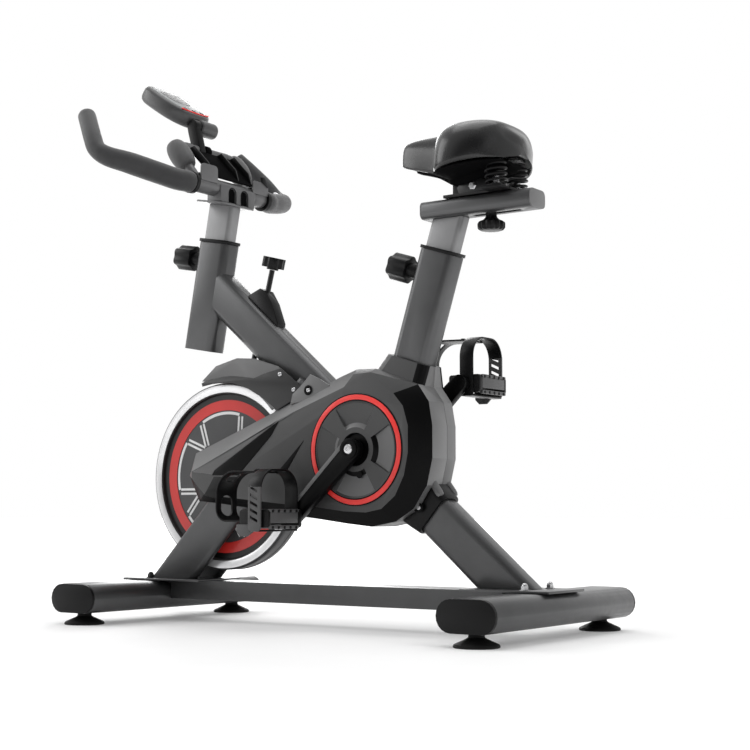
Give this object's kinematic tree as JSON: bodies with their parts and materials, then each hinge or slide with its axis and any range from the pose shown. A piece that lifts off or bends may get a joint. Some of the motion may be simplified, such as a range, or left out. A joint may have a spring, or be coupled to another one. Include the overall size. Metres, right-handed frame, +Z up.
{
  "type": "indoor spin bike",
  "caption": "Indoor spin bike: X-shaped steel frame on two floor bars, belt-driven flywheel, cranks with toe cages, sliding saddle, height-adjustable handlebar and tilting console.",
  "frame": {"origin": "on the floor, under the middle of the whole bike", "axes": "+Z up, -X is the front where the flywheel and handlebar are, -Y is the rider's left where the belt guard is"},
  "size_m": [0.969, 0.5396, 1.0357],
  "materials": {
    "frame_paint": "charcoal satin powder coat",
    "silver_paint": "silver-grey satin",
    "guard_plastic": "dark grey moulded plastic with a light sheen",
    "red_plastic": "bright red moulded plastic",
    "black_plastic": "black moulded plastic",
    "console_plastic": "black plastic with a glossy screen",
    "black_steel": "black coated steel",
    "bright_steel": "zinc-plated steel",
    "flywheel_iron": "machined and plated iron rim, dark painted face",
    "rubber": "black rubber",
    "grip_foam": "black foam sleeve",
    "saddle_leather": "glossy black leather cover over foam"
  },
  "bodies": {
    "frame": {"front_stabilizer": "frame_paint", "rear_stabilizer": "frame_paint", "tie_beam": "frame_paint", "fork_leg_left": "frame_paint", "fork_leg_right": "frame_paint", "bottom_bracket_shell": "frame_paint", "down_tube": "frame_paint", "head_tube": "frame_paint", "seat_tube": "frame_paint", "rear_leg": "frame_paint", "belt_guard_left": "guard_plastic", "belt_guard_right": "guard_plastic", "fender": "guard_plastic", "guard_disc": "guard_plastic", "guard_ring": "red_plastic", "front_end_cap_left": "black_plastic", "front_end_cap_right": "black_plastic", "rear_end_cap_left": "black_plastic", "rear_end_cap_right": "black_plastic", "rear_leg_boot": "black_plastic", "brake_housing": "black_plastic", "head_collar": "black_plastic", "seat_collar": "black_plastic", "drive_belt": "rubber"},
    "crank": {"crank_axle": "bright_steel", "drive_pulley": "black_steel", "crank_arm_left": "black_steel", "crank_arm_right": "black_steel"},
    "flywheel_set": {"flywheel": "flywheel_iron", "flywheel_axle": "bright_steel", "flywheel_pulley": "black_steel"},
    "left_pedal": {"pedal_left": "black_plastic", "toe_cage_left": "black_plastic"},
    "right_pedal": {"pedal_right": "black_plastic", "toe_cage_right": "black_plastic"},
    "handlebar_set": {"handlebar_post": "silver_paint", "handlebar_clamp": "frame_paint", "handlebar": "frame_paint", "grip_left": "grip_foam", "grip_right": "grip_foam", "inner_bar": "grip_foam", "tablet_holder": "black_plastic", "console_bracket": "black_plastic"},
    "console_unit": {"console": "console_plastic"},
    "seat_set": {"seat_post": "silver_paint", "saddle_slider": "frame_paint"},
    "saddle": {"saddle_carriage": "black_steel", "saddle_base": "black_plastic", "saddle_cushion": "saddle_leather"},
    "saddle_lock": {"slide_knob": "black_plastic"},
    "head_lock": {"head_knob": "black_plastic"},
    "seat_lock": {"seat_knob": "black_plastic"},
    "brake": {"brake_rod": "black_steel"},
    "brake_dial": {"tension_knob": "black_plastic"},
    "front_left_foot": {"foot_front_left": "rubber"},
    "front_right_foot": {"foot_front_right": "rubber"},
    "rear_left_foot": {"foot_rear_left": "rubber"},
    "rear_right_foot": {"foot_rear_right": "rubber"},
    "left_wheel": {"transport_wheel_left": "black_plastic"},
    "right_wheel": {"transport_wheel_right": "black_plastic"}
  },
  "joints": [
    {"name": "flywheel_spin", "type": "hinge", "parent": "frame", "child": "flywheel_set", "pos_m": [-0.223, 0, 0.267], "axis": [0, 1, 0], "continuous": true},
    {"name": "crank_spin", "type": "hinge", "parent": "frame", "child": "crank", "pos_m": [0.108, 0, 0.307], "axis": [0, 1, 0], "continuous": true},
    {"name": "left_pedal_spin", "type": "hinge", "parent": "crank", "child": "left_pedal", "pos_m": [-0.019, -0.132, 0.19], "axis": [0, 1, 0], "continuous": true},
    {"name": "right_pedal_spin", "type": "hinge", "parent": "crank", "child": "right_pedal", "pos_m": [0.235, 0.132, 0.424], "axis": [0, 1, 0], "continuous": true},
    {"name": "handlebar_height", "type": "slide", "parent": "frame", "child": "handlebar_set", "axis": [0.1788, 0, 0.9839], "range_m": [-0.04, 0.08]},
    {"name": "console_tilt", "type": "hinge", "parent": "handlebar_set", "child": "console_unit", "pos_m": [-0.307, 0, 0.939], "axis": [0, 1, 0], "range_deg": [-20, 20]},
    {"name": "seat_height", "type": "slide", "parent": "frame", "child": "seat_set", "axis": [0.299, 0, 0.9542], "range_m": [-0.03, 0.12]},
    {"name": "saddle_slide", "type": "slide", "parent": "seat_set", "child": "saddle", "axis": [1, 0, 0], "range_m": [-0.02, 0.045]},
    {"name": "saddle_lock_turn", "type": "hinge", "parent": "saddle", "child": "saddle_lock", "pos_m": [0.343, 0, 0.677], "axis": [0, 0, 1], "continuous": true},
    {"name": "head_lock_pull", "type": "slide", "parent": "frame", "child": "head_lock", "axis": [-0.9839, 0, 0.1788], "range_m": [0, 0.01], "stiffness_N_per_m": 900},
    {"name": "seat_lock_pull", "type": "slide", "parent": "frame", "child": "seat_lock", "axis": [-0.9542, 0, 0.299], "range_m": [0, 0.01], "stiffness_N_per_m": 900, "springref_m": -0.002},
    {"name": "brake_push", "type": "slide", "parent": "frame", "child": "brake", "axis": [-0.2487, 0, -0.9686], "range_m": [0, 0.005], "stiffness_N_per_m": 4000, "springref_m": -0.003},
    {"name": "brake_dial_turn", "type": "hinge", "parent": "brake", "child": "brake_dial", "pos_m": [-0.12352, 0, 0.65443], "axis": [0.2487, 0, 0.9686], "continuous": true},
    {"name": "front_left_foot_turn", "type": "hinge", "parent": "frame", "child": "front_left_foot", "pos_m": [-0.39, -0.203, 0], "axis": [0, 0, 1], "continuous": true},
    {"name": "front_right_foot_turn", "type": "hinge", "parent": "frame", "child": "front_right_foot", "pos_m": [-0.39, 0.203, 0], "axis": [0, 0, 1], "continuous": true},
    {"name": "rear_left_foot_turn", "type": "hinge", "parent": "frame", "child": "rear_left_foot", "pos_m": [0.432, -0.203, 0], "axis": [0, 0, 1], "continuous": true},
    {"name": "rear_right_foot_turn", "type": "hinge", "parent": "frame", "child": "rear_right_foot", "pos_m": [0.432, 0.203, 0], "axis": [0, 0, 1], "continuous": true},
    {"name": "left_wheel_roll", "type": "hinge", "parent": "frame", "child": "left_wheel", "pos_m": [-0.4645, -0.15, 0.042], "axis": [0, 1, 0], "continuous": true},
    {"name": "right_wheel_roll", "type": "hinge", "parent": "frame", "child": "right_wheel", "pos_m": [-0.4645, 0.15, 0.042], "axis": [0, 1, 0], "continuous": true}
  ],
  "couplings": [
    {"joint": "crank_spin", "follows": "flywheel_spin", "ratio": 0.25}
  ]
}
